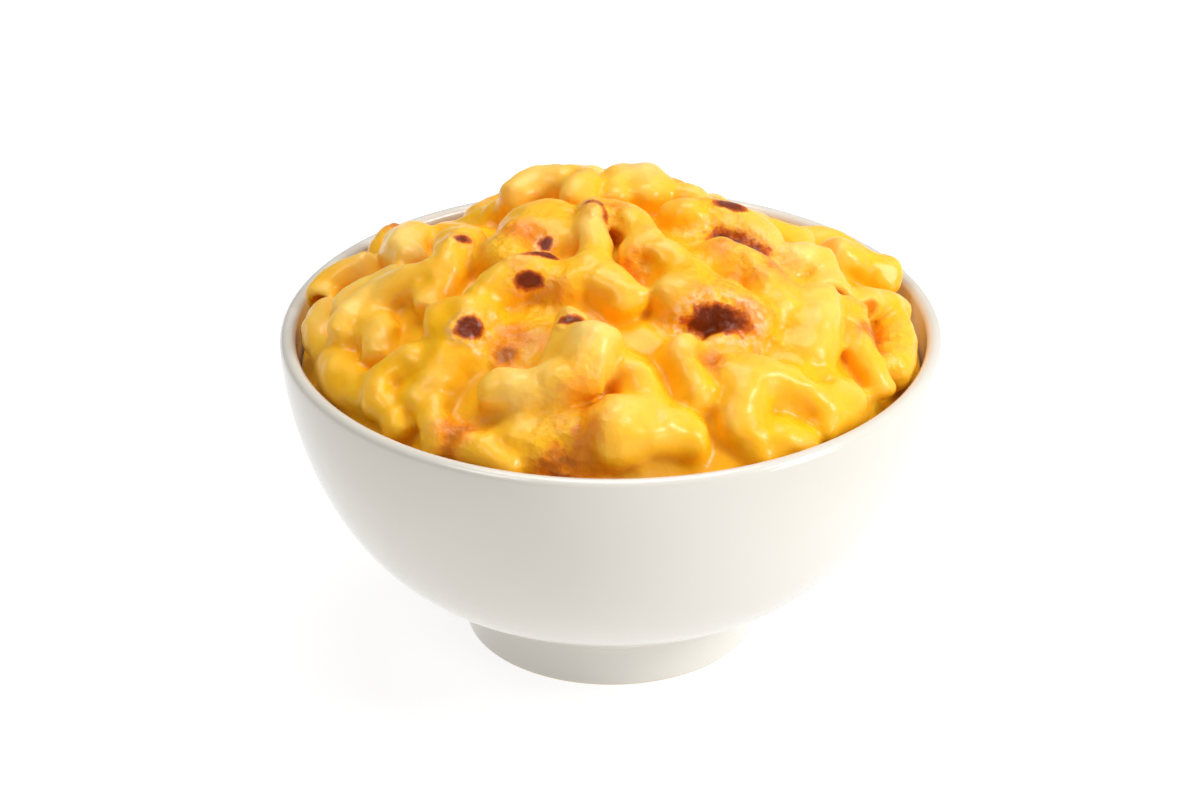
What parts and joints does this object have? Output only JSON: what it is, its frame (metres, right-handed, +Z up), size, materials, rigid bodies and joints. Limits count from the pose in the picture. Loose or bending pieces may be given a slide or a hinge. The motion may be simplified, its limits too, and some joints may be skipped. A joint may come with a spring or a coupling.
{
  "type": "bowl of macaroni and cheese",
  "caption": "White footed bowl heaped with elbow macaroni in glossy orange-yellow cheese sauce, browned in spots on top.",
  "frame": {"origin": "centre of the foot ring's underside, where the bowl stands", "axes": "+Z up through the bowl's middle; -Y is the front, the side that the picture shows; +X is to the right from there"},
  "size_m": [0.125, 0.125, 0.0886],
  "materials": {
    "white_glaze": "smooth white glaze on stoneware",
    "cheese_sauce": "glossy melted cheese sauce with browned spots"
  },
  "bodies": {
    "root": {"bowl": "white_glaze", "macaroni_heap": "cheese_sauce"}
  },
  "joints": []
}
